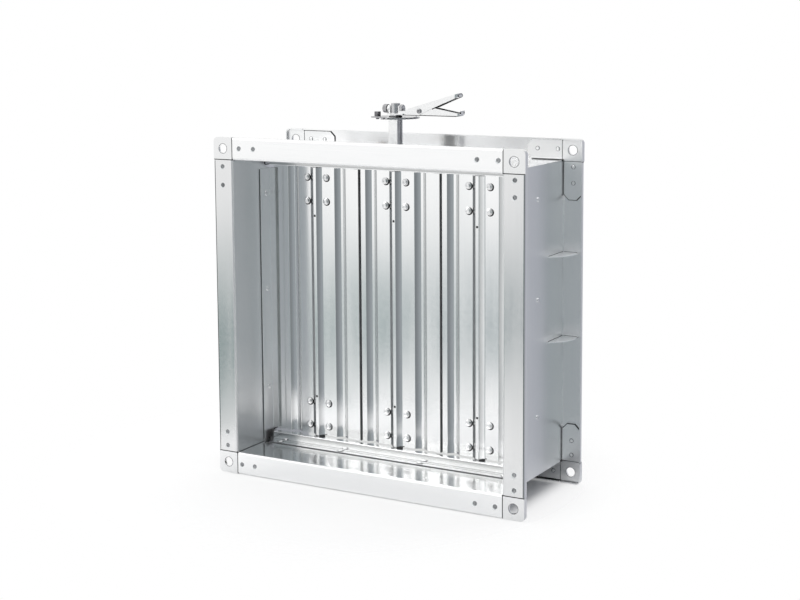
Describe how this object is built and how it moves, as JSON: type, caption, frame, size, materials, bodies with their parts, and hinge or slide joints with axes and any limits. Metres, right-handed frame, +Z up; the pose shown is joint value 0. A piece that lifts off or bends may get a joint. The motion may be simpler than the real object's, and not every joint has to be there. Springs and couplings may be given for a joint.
{
  "type": "isolation damper",
  "caption": "Square flanged duct section closed by upright ribbed blades that turn together from a locking squeeze handle on top.",
  "frame": {"origin": "on the floor plane under the middle of the casing", "axes": "+Z up along the blades' axles to the handle, +X along the casing's width towards the handle's tip, +Y along the air path away from the viewer, from the front flange to the rear flange"},
  "size_m": [0.46, 0.18, 0.5206],
  "materials": {
    "galvanised_sheet": "bright galvanised",
    "plated_handle": "bright zinc plated",
    "turned_steel": "turned",
    "plated_fastener": "zinc plated",
    "spring_steel": "bright",
    "bush_bronze": "sintered",
    "seal_rubber": "matte"
  },
  "bodies": {
    "casing": {"top_panel": "galvanised_sheet", "bottom_panel": "galvanised_sheet", "left_panel": "galvanised_sheet", "right_panel": "galvanised_sheet", "front_corner_bottom_left": "galvanised_sheet", "front_corner_bottom_right": "galvanised_sheet", "front_corner_top_left": "galvanised_sheet", "front_corner_top_right": "galvanised_sheet", "rear_corner_bottom_left": "galvanised_sheet", "rear_corner_bottom_right": "galvanised_sheet", "rear_corner_top_left": "galvanised_sheet", "rear_corner_top_right": "galvanised_sheet", "left_gussets": "galvanised_sheet", "right_gussets": "galvanised_sheet", "top_stop_rail": "galvanised_sheet", "bottom_stop_rail": "galvanised_sheet", "left_side_stop": "galvanised_sheet", "right_side_stop": "galvanised_sheet", "left_side_seal": "seal_rubber", "right_side_seal": "seal_rubber", "upper_bushes": "bush_bronze", "lower_bushes": "bush_bronze", "handle_stand": "plated_handle", "quadrant_plate": "plated_handle", "quadrant_bolt": "plated_fastener"},
    "left_blade": {"left_blade": "galvanised_sheet", "left_upper_axle": "turned_steel", "left_lower_axle": "turned_steel", "left_axle_clamps": "galvanised_sheet", "left_clamp_screws": "plated_fastener", "left_edge_seal": "seal_rubber", "left_crank": "turned_steel", "left_axle_clip": "turned_steel"},
    "centre_blade": {"centre_blade": "galvanised_sheet", "drive_axle": "turned_steel", "centre_lower_axle": "turned_steel", "centre_axle_clamps": "galvanised_sheet", "centre_clamp_screws": "plated_fastener", "centre_edge_seal": "seal_rubber", "centre_crank": "turned_steel", "handle_spacer": "turned_steel", "handle_hub": "turned_steel", "hub_clamp_bolt": "plated_fastener", "handle_lever": "plated_handle", "trigger_pin": "plated_fastener", "trigger_spring": "spring_steel"},
    "right_blade": {"right_blade": "galvanised_sheet", "right_upper_axle": "turned_steel", "right_lower_axle": "turned_steel", "right_axle_clamps": "galvanised_sheet", "right_clamp_screws": "plated_fastener", "right_edge_seal": "seal_rubber", "right_crank": "turned_steel", "right_axle_clip": "turned_steel"},
    "tie_bar": {"tie_bar": "turned_steel"},
    "trigger": {"trigger": "plated_handle"}
  },
  "joints": [
    {"name": "centre_blade_turn", "type": "hinge", "parent": "casing", "child": "centre_blade", "pos_m": [0, 0, 0.23], "axis": [0, 0, 1], "range_deg": [-88.6, 0]},
    {"name": "left_blade_turn", "type": "hinge", "parent": "casing", "child": "left_blade", "pos_m": [-0.1236, 0, 0.23], "axis": [0, 0, 1], "range_deg": [-88.6, 0]},
    {"name": "right_blade_turn", "type": "hinge", "parent": "casing", "child": "right_blade", "pos_m": [0.1236, 0, 0.23], "axis": [0, 0, 1], "range_deg": [-88.6, 0]},
    {"name": "tie_bar_pivot", "type": "hinge", "parent": "centre_blade", "child": "tie_bar", "pos_m": [-0.02121, 0.02121, 0.0122], "axis": [0, 0, 1], "range_deg": [0, 88.6]},
    {"name": "trigger_squeeze", "type": "hinge", "parent": "centre_blade", "child": "trigger", "pos_m": [0.04, 0, 0.4967], "axis": [0, 1, 0], "range_deg": [0, 12], "stiffness_Nm_per_rad": 0.4, "springref_deg": -20.05}
  ],
  "couplings": [
    {"joint": "left_blade_turn", "follows": "centre_blade_turn", "ratio": 1},
    {"joint": "right_blade_turn", "follows": "centre_blade_turn", "ratio": 1},
    {"joint": "tie_bar_pivot", "follows": "centre_blade_turn", "ratio": -1}
  ]
}
